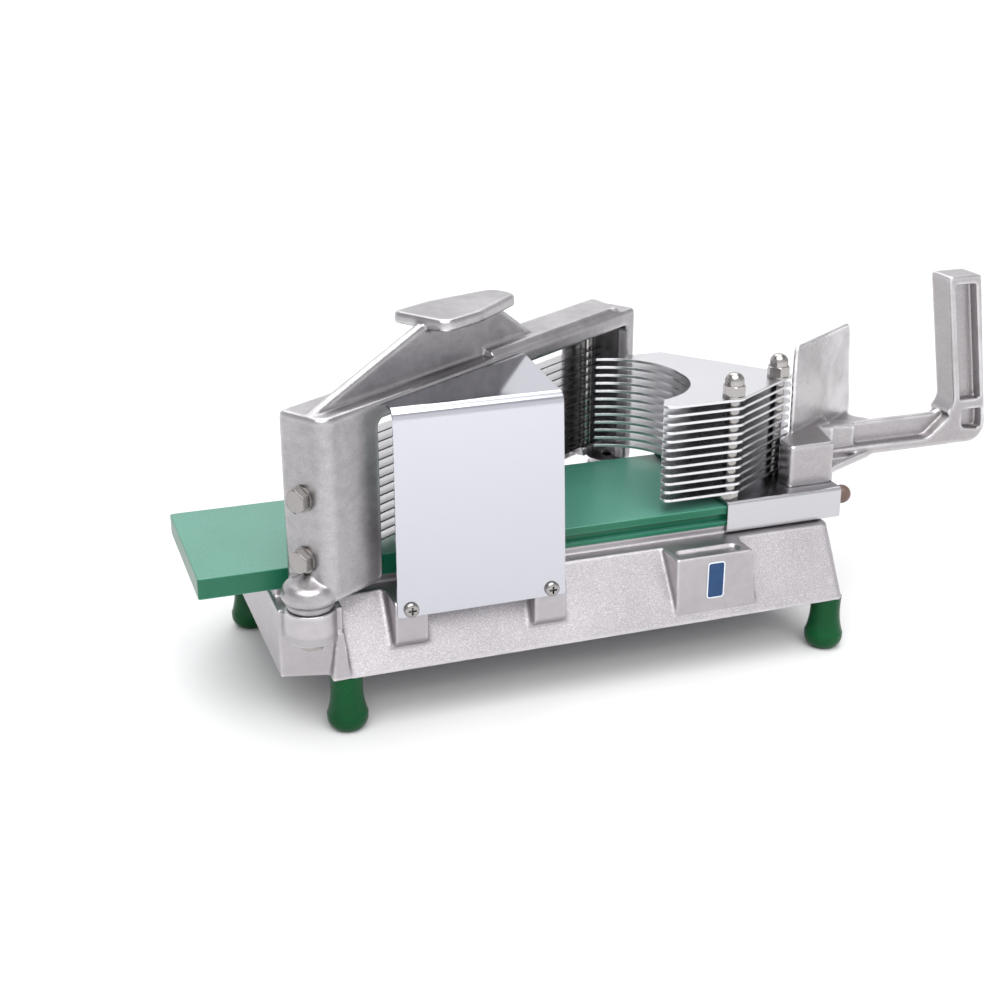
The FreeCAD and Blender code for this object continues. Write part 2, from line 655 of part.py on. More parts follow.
for label, cx, top in (("blade_spacers_near", pin_near, None), ("blade_spacers_far", pin_far, 1)):
    b = new_body(label, slanted=True)
    for k in range(12):
        sk = new_sketch(b, height=blade_low + blade_thick / 2 + blade_pitch * k)
        circle(sk, cx, 7.75, collar_radius)
        circle(sk, cx, 7.75, pin_radius)
        pad(b, sk, blade_pitch - blade_thick)
    sk = new_sketch(b, height=98.5)
    circle(sk, cx, 7.75, collar_radius)
    circle(sk, cx, 7.75, pin_radius)
    pad(b, sk, blade_low - blade_thick / 2 - 98.5)
    sk = new_sketch(b, height=blade_low + blade_thick / 2 + blade_pitch * 12)
    circle(sk, cx, 7.75, collar_radius)
    circle(sk, cx, 7.75, pin_radius)
    pad(b, sk, (window_top - (blade_low + blade_thick / 2 + blade_pitch * 12)) if top else 1.6)

b = new_body("blade_pin_near", slanted=True)
sk = new_sketch(b, height=94)
circle(sk, pin_near, 7.75, pin_radius)
pad(b, sk, 78.5)
b = new_body("blade_pin_far", slanted=True)
sk = new_sketch(b, height=92)
circle(sk, pin_far, 7.75, pin_radius)
pad(b, sk, 97.5)

# the near pin sits in a C-shaped block that the two hex bolts pull
b = new_body("tension_block", slanted=True)
sk = new_sketch(b, "XZ_Plane", height=-13.2)
outline(sk, [(8, 94), (30.5, 94), (30.5, 98.5), (14, 98.5), (14, 168), (30.5, 168), (30.5, 172.5), (8, 172.5)])
pad(b, sk, 18.4)
sk = new_sketch(b, height=172.5)
circle(sk, pin_near, 7.75, pin_radius)
pocket(b, sk, 100)
sk = new_sketch(b, "YZ_Plane", height=14)
circle(sk, bolt_y, 147, 4)
circle(sk, bolt_y, 111, 4)
pocket(b, sk, 8)

b = new_body("tension_bolts", slanted=True)
for bz in (147, 111):
    sk = new_sketch(b, "YZ_Plane", height=-7.9)
    hexagon(sk, bolt_y, bz, 12.7, 30)
    pad(b, sk, 5.2)
    sk = new_sketch(b, "YZ_Plane", height=-2.7)
    circle(sk, bolt_y, bz, 4)
    pad(b, sk, 16.7)
# corners of the heads turned off
for bz in (147, 111):
    sk = new_sketch(b, "XZ_Plane", height=-0.8, shift=(0, bz))
    outline(sk, [(-8.0, 5.9), (-8.0, 8.2), (-6.7, 8.2)])
    revolve(b, sk, "H_Axis", cut=True)
b = new_body("tension_washers", slanted=True)
sk = new_sketch(b, "YZ_Plane", height=-2.7)
for bz in (147, 111):
    circle(sk, bolt_y, bz, 7.65)
    circle(sk, bolt_y, bz, 4)
pad(b, sk, 1.7)

# ---- pusher slide ----------------------------------------------------------
b = new_body("slide_plate")
side_front = board_front - slide_gap
side_back = board_back + slide_gap
sk = new_sketch(b, "YZ_Plane", height=slide_left)
outline(sk, [(side_front - flange_thick, slide_skirt), (side_front, slide_skirt), (side_front, slide_top - slide_thick),
             (side_back, slide_top - slide_thick), (side_back, slide_skirt), (side_back + flange_thick, slide_skirt),
             (side_back + flange_thick, slide_top), (side_front - flange_thick, slide_top)])
pad(b, sk, slide_right - slide_left)
round_edges(b, lambda e: is_line(e) and abs(direction(e).x) > 0.99 and near(mid(e), z=98, tol=0.05), 2.4)
sk = new_sketch(b, height=slide_top)
circle(sk, stud_front_x, stud_front_y, stud_radius)
circle(sk, stud_back_x, stud_back_y, stud_radius)
for hx, hy in ((309, 40), (327, 42), (336 - 7, 62)):
    circle(sk, hx, hy, 2.6)
pocket(b, sk, 5)

for label, y0 in (("guide_strip_front", side_front), ("guide_strip_rear", None)):
    b = new_body(label)
    sk = new_sketch(b, "YZ_Plane", height=slide_left + 1.5)
    if y0 is not None:
        rectangle(sk, side_front, groove_low + 0.2, board_front + groove_deep - 0.2, groove_high - 0.2)
    else:
        rectangle(sk, board_back - groove_deep + 0.2, groove_low + 0.2, side_back, groove_high - 0.2)
    pad(b, sk, 71.2)
    round_edges(b, lambda e: is_line(e) and abs(direction(e).z) > 0.99, 0.8)

# ---- pusher plates, studs, nuts -------------------------------------------
for k in range(12):
    b = new_body("pusher_plate_%02d" % (k + 1))
    sk = new_sketch(b, height=plate_low - plate_thick / 2 + blade_pitch * k)
    outline(sk, [(191.6, 137.0), (237.3, 121.0, 248.5, 89.0), (241.5, 59.0, 214.5, 39.8),
                 (209.6, 30.6), (210.9, 27.0, 214.2, 25.4), (256.5, 25.4), (261.0, 25.9, 264.6, 28.2),
                 (311.2, 57.6), (314.9, 61.5, 313.8, 66.3), (259.4, 134.8), (258.0, 136.4, 255.9, 137.0)])
    circle(sk, stud_front_x, stud_front_y, stud_radius)
    circle(sk, stud_back_x, stud_back_y, stud_radius)
    pad(b, sk, plate_thick)
    # edges broken all round
    round_edges(b, lambda e: is_line(e) and abs(direction(e).z) < 0.1 and mid(e).y < 60, 0.3)

for label, cx, cy in (("stud_spacers_front", stud_front_x, stud_front_y), ("stud_spacers_rear", stud_back_x, stud_back_y)):
    b = new_body(label)
    for k in range(11):
        sk = new_sketch(b, height=plate_low + plate_thick / 2 + blade_pitch * k)
        circle(sk, cx, cy, spacer_radius)
        circle(sk, cx, cy, stud_radius)
        pad(b, sk, blade_pitch - plate_thick)

plate_top = plate_low + plate_thick / 2 + blade_pitch * 11
for label, cx, cy in (("stud_front", stud_front_x, stud_front_y), ("stud_rear", stud_back_x, stud_back_y)):
    b = new_body(label)
    sk = new_sketch(b, height=slide_top - slide_thick)
    circle(sk, cx, cy, stud_radius)
    pad(b, sk, 78)

b = new_body("stud_nuts")
sk = new_sketch(b, height=slide_top)
for cx, cy in ((stud_front_x, stud_front_y), (stud_back_x, stud_back_y)):
    hexagon(sk, cx, cy, 11.1, 12)
    circle(sk, cx, cy, stud_radius)
pad(b, sk, plate_low - plate_thick / 2 - slide_top)

b = new_body("stud_washers")
sk = new_sketch(b, height=plate_top)
for cx, cy in ((stud_front_x, stud_front_y), (stud_back_x, stud_back_y)):
    circle(sk, cx, cy, 7.0)
    circle(sk, cx, cy, stud_radius)
pad(b, sk, 1.2)

for label, cx, cy in (("acorn_nut_front", stud_front_x, stud_front_y), ("acorn_nut_rear", stud_back_x, stud_back_y)):
    b = new_body(label)
    z0 = num(plate_top) + 1.2
    sk = new_sketch(b, height=z0)
    hexagon(sk, 0, 0, 12.7, 12)
    pad(b, sk, 6.6)
    sk = new_sketch(b, "XZ_Plane")
    outline(sk, [(0, z0 + 5), (5.9, z0 + 5), (5.9, z0 + 8.6), (4.3, z0 + 12.9, 0.6, z0 + 14.3), (0, z0 + 14.3)])
    revolve(b, sk)
    # corners of the hexagon turned off at both ends
    sk = new_sketch(b, "XZ_Plane")
    outline(sk, [(5.95, z0 + 6.95), (8.6, z0 + 6.95), (8.6, z0 + 5.0)])
    revolve(b, sk, cut=True)
    sk = new_sketch(b, height=z0 - 1)
    circle(sk, 0, 0, stud_radius)
    pocket(b, sk, 9.5, back=True)
    b.Placement = Placement(Vector(num(cx) - num(origin_x), num(cy) - num(origin_y), 0), Rotation())
    b.setExpression("Placement.Base.x", (cx - origin_x).text)
    b.setExpression("Placement.Base.y", (cy - origin_y).text)

# ---- pusher handle ---------------------------------------------------------
# One casting: block, arm, upright grip and hand guard.
b = new_body("pusher_handle")
sk = new_sketch(b, height=slide_top)
outline(sk, [(301.6, 47.2), (301.6, 32.8), (333.2, 32.8), (341, 66), (352, 70), (352, 83), (346, 87), (339.5, 85.2)])
pad(b, sk, block_height - slide_top)
round_edges(b, lambda e: upright(e) and (near(mid(e), x=301.6, y=32.8, tol=0.1) or near(mid(e), x=333.2, y=32.8, tol=0.2)), 2.6)
round_edges(b, lambda e: near(mid(e), z=125.4, tol=0.02) and mid(e).y < 64, 1.6)
# arm and grip, seen from the front
sk = new_sketch(b, "XZ_Plane", height=-arm_back)
soft_outline(sk, [(338, slide_top, 0), (374, slide_top, 0), (385, 99.7, 0), (475.1, 99.7, 12.5), (456.3, grip_top, 2.2),
                  (430.9, grip_top, 2.2), (447.4, 120.8, 11), (369, 120.8, 0), (352, 122.6, 0), (338, 124.6, 0)])
pad(b, sk, arm_back - arm_front)
round_edges(b, lambda e: (abs(mid(e).y - 65.8) < 0.05 or abs(mid(e).y - 87) < 0.05) and mid(e).x > 386
            and not (is_line(e) and abs(direction(e).y) > 0.9), 1.3)
# gusset under the arm, with a raised rim along its outer edge
sk = new_sketch(b, height=slide_top)
outline(sk, [(330, 33.2), (333.8, 33.2), (337.4, 41.4, 345.4, 48.6), (382.4, 66.5), (382.4, 87), (330, 87)])
pad(b, sk, 5.2)
# the web: deep recesses on both sides, shallow ones beside the block
for y0, back in ((arm_front, False), (arm_back, True)):
    sk = new_sketch(b, "XZ_Plane", height=-y0)
    outline(sk, [(352.6, 106.4), (374, 106.4), (374, 140), (352.6, 140)])
    pocket(b, sk, 4.0, back=back)
    sk = new_sketch(b, "XZ_Plane", height=-y0)
    outline(sk, [(371.5, 140), (371.5, 110.2), (372.5, 107.6, 375.0, 106.5), (424.5, 106.3), (428.8, 107.1, 432.2, 109.8),
                 (443.2, 119.4), (441.0, 123.5), (437.5, 140)])
    pocket(b, sk, 8.4, back=back)
    # pockets in the grip
    sk = new_sketch(b, "XZ_Plane", height=-y0)
    outline(sk, [(450.6, 131), (466.4, 131), (452.6, 211.5), (436.6, 211.5)])
    outline(sk, [(453.2, 123.5), (453.7, 115.5), (454.7, 112.0, 458.2, 110.2), (465.2, 109.3), (468.4, 109.9, 469.4, 113.0),
                 (468.4, 123.5)])
    pocket(b, sk, 7.2, back=back)
sk = new_sketch(b, height=slide_top + 5.2)
outline(sk, [(342.6, 53.4), (346.2, 52.6), (371.5, 64.9), (371.5, 65.7), (345.5, 65.7)])
pocket(b, sk, 3.4)
# shelf behind the arm, under the hand guard
sk = new_sketch(b, height=112)
outline(sk, [(346.75, 78.79), (387.0, 104.93), (384.2, 95.0, 391.0, 86.0), (391.0, 77.0), (346.75, 77.0)])
pad(b, sk, 7)
# hand guard, a thin wall slanted like the blade frame
sk = new_sketch(b, "XZ_Plane", height=-57.0, spin=((0, 1, 0), 33.0), shift=(313.2, 0))
outline(sk, [(3, 112), (1.2, 177.5), (2.4, 181.8, 6.4, 183.6), (73.5, 183.4), (78.0, 181.9, 79.6, 178.0), (90.4, 112)])
pad(b, sk, 2.6, middle=True)
sk = new_sketch(b, height=slide_top)
for hx, hy in ((309, 40), (327, 42), (336 - 7, 62)):
    circle(sk, hx, hy, 2.5)
pocket(b, sk, 12, back=True)

b = new_body("handle_screws")
sk = new_sketch(b, height=slide_top - slide_thick + 0.3)
for hx, hy in ((309, 40), (327, 42), (336 - 7, 62)):
    circle(sk, hx, hy, 2.5)
pad(b, sk, 13)

# ---- checks and files ------------------------------------------------------
doc.recompute()
for o in doc.Objects:
    if "Invalid" in o.State or "Error" in o.State:
        raise RuntimeError("object failed: %s" % o.Name)
os.makedirs("parts", exist_ok=True)
for p in parts:
    if p.Shape.isNull() or not p.Shape.isValid() or not p.Shape.Solids:
        raise RuntimeError("bad shape: %s" % p.Label)
    p.Shape.exportStep("parts/%s.step" % p.Label)
    bb = p.Shape.BoundBox
    print("%-20s %2d solids %9.0f mm3  %s" % (p.Label, len(p.Shape.Solids), p.Shape.Volume,
          " ".join("%.1f" % v for v in (bb.XMin, bb.XMax, bb.YMin, bb.YMax, bb.ZMin, bb.ZMax))))
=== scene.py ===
"""Looks of the slicer: finishes, floor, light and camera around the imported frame."""

import math

import bpy
from mathutils import Euler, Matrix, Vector

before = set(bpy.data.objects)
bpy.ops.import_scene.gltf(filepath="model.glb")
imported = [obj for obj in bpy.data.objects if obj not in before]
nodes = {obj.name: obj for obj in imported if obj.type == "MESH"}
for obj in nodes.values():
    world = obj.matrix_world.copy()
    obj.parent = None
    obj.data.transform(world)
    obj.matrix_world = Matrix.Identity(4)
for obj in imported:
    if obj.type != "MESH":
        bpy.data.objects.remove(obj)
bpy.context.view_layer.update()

OX, OY = 197.9, 76.4  # the construction's own origin, mm


def at(x, y, z):
    """A point given in the construction's millimetres."""
    return Vector(((x - OX) / 1000, (y - OY) / 1000, z / 1000))


# ---- camera ----------------------------------------------------------------
cam_data = bpy.data.cameras.new("view")
cam_data.lens = 54.806
cam_data.sensor_width = 36.0
cam_data.sensor_fit = "HORIZONTAL"
cam_data.clip_start = 0.02
cam_data.clip_end = 60.0
cam = bpy.data.objects.new("view", cam_data)
cam.location = (-0.37542, -0.83944, 0.44691)
cam.rotation_euler = Euler((math.radians(90 - 21.43), 0.0, math.radians(-19.58)), "XYZ")
bpy.context.scene.collection.objects.link(cam)
bpy.context.scene.camera = cam


# ---- material helper -------------------------------------------------------
class Finish:
    """A node material built step by step. Patterns are laid out in the object's own metres."""

    def __init__(self, name, metallic=0.0, specular=0.5, coat=0.0, coat_roughness=0.1, ior=1.5, sheen=0.0):
        self.mat = bpy.data.materials.new(name)
        self.mat.use_nodes = True
        self.tree = self.mat.node_tree
        self.tree.nodes.clear()
        self.out = self.node("ShaderNodeOutputMaterial")
        self.bsdf = self.node("ShaderNodeBsdfPrincipled")
        self.link(self.bsdf.outputs["BSDF"], self.out.inputs["Surface"])
        self.bsdf.inputs["Metallic"].default_value = metallic
        self.bsdf.inputs["IOR"].default_value = ior
        self.bsdf.inputs["Specular IOR Level"].default_value = specular
        self.bsdf.inputs["Coat Weight"].default_value = coat
        self.bsdf.inputs["Coat Roughness"].default_value = coat_roughness
        self.bsdf.inputs["Sheen Weight"].default_value = sheen
        self.place = self.node("ShaderNodeTexCoord").outputs["Object"]

    def node(self, kind, **settings):
        n = self.tree.nodes.new(kind)
        for k, v in settings.items():
            setattr(n, k, v)
        return n

    def link(self, a, b):
        self.tree.links.new(a, b)

    def feed(self, socket, value):
        if hasattr(value, "is_linked"):
            self.link(value, socket)
        else:
            socket.default_value = value

    def stretch(self, scale, turn=(0, 0, 0)):
        n = self.node("ShaderNodeMapping")
        n.inputs["Scale"].default_value = scale
        n.inputs["Rotation"].default_value = turn
        self.link(self.place, n.inputs["Vector"])
        return n.outputs["Vector"]

    def noise(self, scale, detail=2.0, rough=0.5, where=None, distortion=0.0):
        n = self.node("ShaderNodeTexNoise")
        self.link(where or self.place, n.inputs["Vector"])
        n.inputs["Scale"].default_value = scale
        n.inputs["Detail"].default_value = detail
        n.inputs["Roughness"].default_value = rough
        n.inputs["Distortion"].default_value = distortion
        return n.outputs["Fac"]

    def cells(self, scale, feature="F1", where=None, output="Distance"):
        n = self.node("ShaderNodeTexVoronoi")
        n.feature = feature
        self.link(where or self.place, n.inputs["Vector"])
        n.inputs["Scale"].default_value = scale
        return n.outputs[output]

    def span(self, value, a, b, c=0.0, d=1.0, smooth=False):
        n = self.node("ShaderNodeMapRange")
        n.interpolation_type = "SMOOTHSTEP" if smooth else "LINEAR"
        n.clamp = True
        self.feed(n.inputs["Value"], value)
        n.inputs["From Min"].default_value = a
        n.inputs["From Max"].default_value = b
        n.inputs["To Min"].default_value = c
        n.inputs["To Max"].default_value = d
        return n.outputs["Result"]

    def math(self, kind, a, b=0.0, clamp=False):
        n = self.node("ShaderNodeMath")
        n.operation = kind
        n.use_clamp = clamp
        self.feed(n.inputs[0], a)
        self.feed(n.inputs[1], b)
        return n.outputs[0]

    def blend(self, fac, a, b):
        n = self.node("ShaderNodeMix")
        n.data_type = "RGBA"
        n.clamp_factor = True
        ins = [s for s in n.inputs if s.enabled or s.type == "RGBA"]
        self.feed(n.inputs["Factor"], fac)
        colours = [s for s in n.inputs if s.type == "RGBA"]
        for s, v in zip(colours, (a, b)):
            self.feed(s, v if hasattr(v, "is_linked") else (*v, 1.0) if len(v) == 3 else v)
        return [s for s in n.outputs if s.type == "RGBA"][0]

    def split(self, vector):
        n = self.node("ShaderNodeSeparateXYZ")
        self.link(vector, n.inputs[0])
        return n.outputs[0], n.outputs[1], n.outputs[2]

    def facing(self):
        return self.node("ShaderNodeNewGeometry").outputs["Normal"]

    def outer_edge(self, distance, low=0.55, high=0.95):
        """1 on outward edges and rounds, 0 on flats: how soon a ray going inwards leaves again."""
        n = self.node("ShaderNodeAmbientOcclusion")
        n.inside = True
        n.only_local = True
        n.samples = 6
        n.inputs["Distance"].default_value = distance
        return self.span(n.outputs["AO"], high, low, 0.0, 1.0)

    # occlusion mask, 1 in inner corners: it drives the painted shade in the finishes
    def inner_corner(self, distance, low=0.35, high=0.85):
        n = self.node("ShaderNodeAmbientOcclusion")
        n.samples = 6
        n.inputs["Distance"].default_value = distance
        return self.span(n.outputs["AO"], high, low, 0.0, 1.0)

    def bump(self, *layers, edge=None):
        """layers: (height, strength, distance). The last one is the outermost."""
        normal = None
        if edge:
            n = self.node("ShaderNodeBevel")
            n.samples = 4
            n.inputs["Radius"].default_value = edge
            normal = n.outputs["Normal"]
        for height, strength, distance in layers:
            n = self.node("ShaderNodeBump")
            n.inputs["Strength"].default_value = strength
            n.inputs["Distance"].default_value = distance
            self.feed(n.inputs["Height"], height)
            if normal:
                self.link(normal, n.inputs["Normal"])
            normal = n.outputs["Normal"]
        self.link(normal, self.bsdf.inputs["Normal"])
        return self

    def colour(self, value):
        self.feed(self.bsdf.inputs["Base Color"], value if hasattr(value, "is_linked") else (*value, 1.0))
        return self

    def roughness(self, value):
        self.feed(self.bsdf.inputs["Roughness"], value)
        return self


# ---- finishes --------------------------------------------------------------
def cast_finish(name, dark, light, polished, grain, grain_depth, rough, blast_and_light=None, edge_depth=0.0035):
    """Cast aluminium: mottled skin, fine grain, a few pits, painted shade in recesses, edges rubbed bright by
    handling.
    """
    f = Finish(name, metallic=1.0)
    cloud = f.noise(22, 3, 0.55)
    fine = f.noise(grain, 2, 0.6)
    scuff = f.noise(1, 3, 0.6, where=f.stretch((150, 110, 190), (0.2, 0.5, 0.3)))
    tone = f.math("ADD", f.math("MULTIPLY", cloud, 0.55), f.math("MULTIPLY", scuff, 0.45))
    base = f.blend(f.span(tone, 0.38, 0.62), dark, light)
    # fine light and dark grains
    speck = f.span(fine, 0.34, 0.66)
    if blast_and_light is None:
        amount = 0.32
        base = f.blend(f.math("MULTIPLY", f.math("SUBTRACT", 1.0, speck), amount), base, tuple(0.55 * c for c in dark))
    else:
        mask = blast_and_light(f)
        # painted light: the sloping walls get a lighter base tone; the specks below are the blasted grain
        base = f.blend(mask, base, f.blend(f.span(tone, 0.38, 0.62), tuple(1.45 * c for c in dark), tuple(1.40 * c for c in light)))
        base = f.blend(f.math("MULTIPLY", f.math("SUBTRACT", 1.0, speck), f.math("MULTIPLY", mask, 0.5)), base,
                       tuple(0.72 * c for c in dark))
        base = f.blend(f.math("MULTIPLY", f.span(fine, 0.54, 0.66), f.math("MULTIPLY", mask, 0.85)), base,
                       tuple(min(1.0, 1.62 * c) for c in light))
    # painted shade: recesses and inner corners are darkened where less light reaches them
    painted_corner_shade = f.inner_corner(0.0045, 0.30, 0.85)
    base = f.blend(f.math("MULTIPLY", painted_corner_shade, 0.42), base, tuple(0.40 * c for c in dark))
    # pits left by the casting, few and small
    pit = f.cells(75)
    pits = f.math("MULTIPLY", f.span(pit, 0.05, 0.022), f.span(f.noise(9, 1), 0.52, 0.56))
    base = f.blend(f.math("MULTIPLY", pits, 0.75), base, (0.10, 0.09, 0.09))
    edge = f.math("MULTIPLY", f.outer_edge(edge_depth), f.span(f.noise(60, 2), 0.25, 0.6, 0.35, 1.0))
    base = f.blend(edge, base, polished)
    f.colour(base)
    r = f.math("ADD", rough, f.math("MULTIPLY", f.math("SUBTRACT", cloud, 0.5), 0.22))
    r = f.math("SUBTRACT", r, f.math("MULTIPLY", edge, 0.14), clamp=True)
    f.roughness(r)
    height = fine if blast_and_light is None else f.math("MULTIPLY", fine, f.span(mask, 0, 1, 0.25, 1.0))
    f.bump((f.noise(70, 3, 0.6), 0.35, 0.0006), (f.math("MULTIPLY", pits, -1.0), 0.5, 0.0004),
           (height, 0.5, grain_depth), edge=0.0006)
    return f.mat


def blasted_and_lit_walls(f):
    """The blasted grain is on the long sloping walls only, picked by their slope, and these walls also get a lighter
    tone as painted light: bosses, ledge and ends are smoother.
    """
    nx, ny, nz = f.split(f.facing())
    slope = f.math("MULTIPLY", f.span(nz, 0.38, 0.46), f.span(nz, 0.72, 0.62))
    x, y, z = f.split(f.place)
    return slope


base_cast = cast_finish("base_cast", (0.405, 0.385, 0.40), (0.460, 0.438, 0.455), (0.72, 0.70, 0.715), 1400, 0.00012, 0.42,
                        blast_and_light=blasted_and_lit_walls, edge_depth=0.0022)
frame_cast = cast_finish("frame_cast", (0.36, 0.347, 0.357), (0.475, 0.46, 0.472), (0.82, 0.81, 0.82), 1300, 0.00012, 0.345,
                         edge_depth=0.0042)
handle_cast = cast_finish("handle_cast", (0.415, 0.395, 0.405), (0.465, 0.445, 0.455), (0.84, 0.83, 0.84), 1000, 0.00014, 0.36,
                          edge_depth=0.0030)


def sheet_finish(name, tint, rough, streak=(30, 900, 900), depth=0.00001, edge=0.0003, varied=0.06, contrast=0.955,
                 rim=None, gap=0.0, front=None):
    """Rolled sheet steel: faint streaks along the rolling direction, soft smears, broken edges."""
    f = Finish(name, metallic=1.0)
    lines = f.noise(1, 3, 0.65, where=f.stretch(streak))
    smear = f.noise(14, 3, 0.5, distortion=0.4)
    tone = f.blend(f.span(lines, 0.3, 0.7), tuple(contrast * c for c in tint), tint)
    if rim:
        # painted dark reflection: the steep edge faces of the blades are coloured dark
        nx, ny, nz = f.split(f.facing())
        tone = f.blend(f.span(f.math("ABSOLUTE", nz), 0.85, 0.5), tone, rim)
    if front:
        # the ground front edge: a strip of the upper side along the slanted frame, darkened partly for the ground
        # bevel and partly as painted shadow of the edge line
        x, y, z = f.split(f.place)
        c = at(-19.9, -5.3, 0)
        across = f.math("SUBTRACT", f.math("MULTIPLY", f.math("SUBTRACT", y, c.y), math.cos(math.radians(33.2))),
                        f.math("MULTIPLY", f.math("SUBTRACT", x, c.x), math.sin(math.radians(33.2))))
        tone = f.blend(f.span(across, front[0] + 0.0002, front[0]), tone, front[1])
    if gap:
        # painted shade in the narrow gaps between parallel plates
        tone = f.blend(f.math("MULTIPLY", f.inner_corner(gap, 0.10, 0.55), 0.80), tone, (0.10, 0.098, 0.10))
    f.colour(tone)
    r = f.math("ADD", rough, f.math("MULTIPLY", f.math("SUBTRACT", smear, 0.45), varied * 2))
    r = f.math("ADD", r, f.math("MULTIPLY", f.math("SUBTRACT", lines, 0.5), varied), clamp=True)
    f.roughness(r)
    f.bump((smear, 0.1, 0.0004), (lines, 0.25, depth), edge=edge)
    return f.mat


guard_steel = sheet_finish("guard_steel", (0.532, 0.537, 0.582), 0.09, streak=(500, 500, 25), depth=0.0000015, varied=0.02,
                           contrast=0.99)
slide_steel = sheet_finish("slide_steel", (0.53, 0.525, 0.55), 0.22, depth=0.00001, varied=0.06)
# plate_steel: gap turns on the painted shade between the stacked plates
plate_steel = sheet_finish("plate_steel", (0.70, 0.70, 0.72), 0.24, depth=0.00001, edge=0.00045, gap=0.0060)
# blade_steel: rim paints the steep edge faces dark as painted reflection; front darkens a strip along the front edge,
# partly ground bevel, partly painted shadow
blade_steel = sheet_finish("blade_steel", (0.52, 0.51, 0.52), 0.26, streak=(40, 700, 700), depth=0.000008, edge=None,
                           rim=(0.05, 0.048, 0.05), front=(0.0039, (0.10, 0.098, 0.10)))
plain_steel = sheet_finish("plain_steel", (0.62, 0.61, 0.62), 0.26, depth=0.00001)


def turned_finish(name, tint, rough, corner_shade_amount=0.35, reach=0.0015):
    """Bright turned or rolled fasteners: fine turning lines, tiny scratches, painted shade in the corners."""
    f = Finish(name, metallic=1.0)
    rings = f.noise(1, 2, 0.6, where=f.stretch((120, 120, 2600)))
    scratch = f.noise(420, 2, 0.6)
    corner = f.inner_corner(reach)
    tone = f.blend(f.span(scratch, 0.3, 0.7), tuple(0.93 * c for c in tint), tint)
    # painted shade: darker where the occlusion mask finds inner corners
    f.colour(f.blend(f.math("MULTIPLY", corner, corner_shade_amount), tone, tuple(0.22 * c for c in tint)))
    f.roughness(f.math("ADD", rough, f.math("MULTIPLY", f.math("SUBTRACT", scratch, 0.5), 0.12), clamp=True))
    f.bump((rings, 0.2, 0.00002), (scratch, 0.15, 0.00003), edge=0.0004)
    return f.mat


# the third number is the strength of the painted corner shade
bright_hardware = turned_finish("bright_hardware", (0.41, 0.395, 0.385), 0.07, 0.85, 0.0032)
screw_hardware = turned_finish("screw_hardware", (0.36, 0.345, 0.335), 0.12, 0.9, 0.0030)
hex_hardware = turned_finish("hex_hardware", (0.36, 0.345, 0.335), 0.15, 0.7, 0.0030)


def board_finish():
    """Polyethylene: the flat faces are painted lighter and the sides darker, by facing, as painted light; the fine
    pebbled skin on the flat faces gets pale specks as painted highlight.
    """
    f = Finish("board_plastic", specular=0.5)
    skin = f.noise(950, 2, 0.55)
    blotch = f.noise(24, 3, 0.5)
    marks = f.noise(1, 2, 0.5, where=f.stretch((12, 480, 300)))
    lit_face_tone = f.blend(f.span(blotch, 0.3, 0.7), (0.050, 0.190, 0.138), (0.060, 0.214, 0.158))
    # painted highlight: pale specks on the pebbled skin
    lit_face_tone = f.blend(f.math("MULTIPLY", f.span(skin, 0.54, 0.68), 0.75), lit_face_tone, (0.100, 0.300, 0.225))
    shaded_side_tone = f.blend(f.span(blotch, 0.3, 0.7), (0.001, 0.096, 0.047), (0.002, 0.114, 0.058))
    nx, ny, nz = f.split(f.facing())
    # painted light: lighter tone on the upward and downward faces, darker on the sides
    tone = f.blend(f.span(f.math("ABSOLUTE", nz), 0.5, 0.8), shaded_side_tone, lit_face_tone)
    edge = f.outer_edge(0.0012, 0.5, 0.9)
    tone = f.blend(f.math("MULTIPLY", edge, 0.5), tone, (0.035, 0.235, 0.150))
    f.colour(tone)
    f.roughness(f.math("ADD", 0.31, f.math("MULTIPLY", f.math("SUBTRACT", blotch, 0.5), 0.12)))
    f.bump((marks, 0.12, 0.00008), (skin, 0.45, 0.00012), edge=0.0004)
    return f.mat


def foot_finish():
    """Moulded rubber, slightly glossy, with faint mould rings."""
    f = Finish("foot_rubber", specular=0.18)
    rings = f.noise(1, 1, 0.5, where=f.stretch((8, 8, 520)))
    skin = f.noise(700, 2, 0.5)
    blotch = f.noise(45, 2, 0.5)
    f.colour(f.blend(f.span(blotch, 0.3, 0.7), (0.001, 0.047, 0.013), (0.002, 0.063, 0.018)))
    f.roughness(f.math("ADD", 0.26, f.math("MULTIPLY", f.math("SUBTRACT", blotch, 0.5), 0.16)))
    f.bump((rings, 0.18, 0.0001), (skin, 0.15, 0.00005), edge=0.0005)
    return f.mat


def bumper_finish():
    f = Finish("bumper_rubber", specular=0.4)
    skin = f.noise(600, 2, 0.5)
    blotch = f.noise(120, 2, 0.5)
    f.colour(f.blend(f.span(blotch, 0.3, 0.7), (0.095, 0.057, 0.047), (0.135, 0.085, 0.070)))
    f.roughness(f.math("ADD", 0.38, f.math("MULTIPLY", f.math("SUBTRACT", blotch, 0.5), 0.2)))
    f.bump((skin, 0.25, 0.00008), edge=0.0004)
    return f.mat


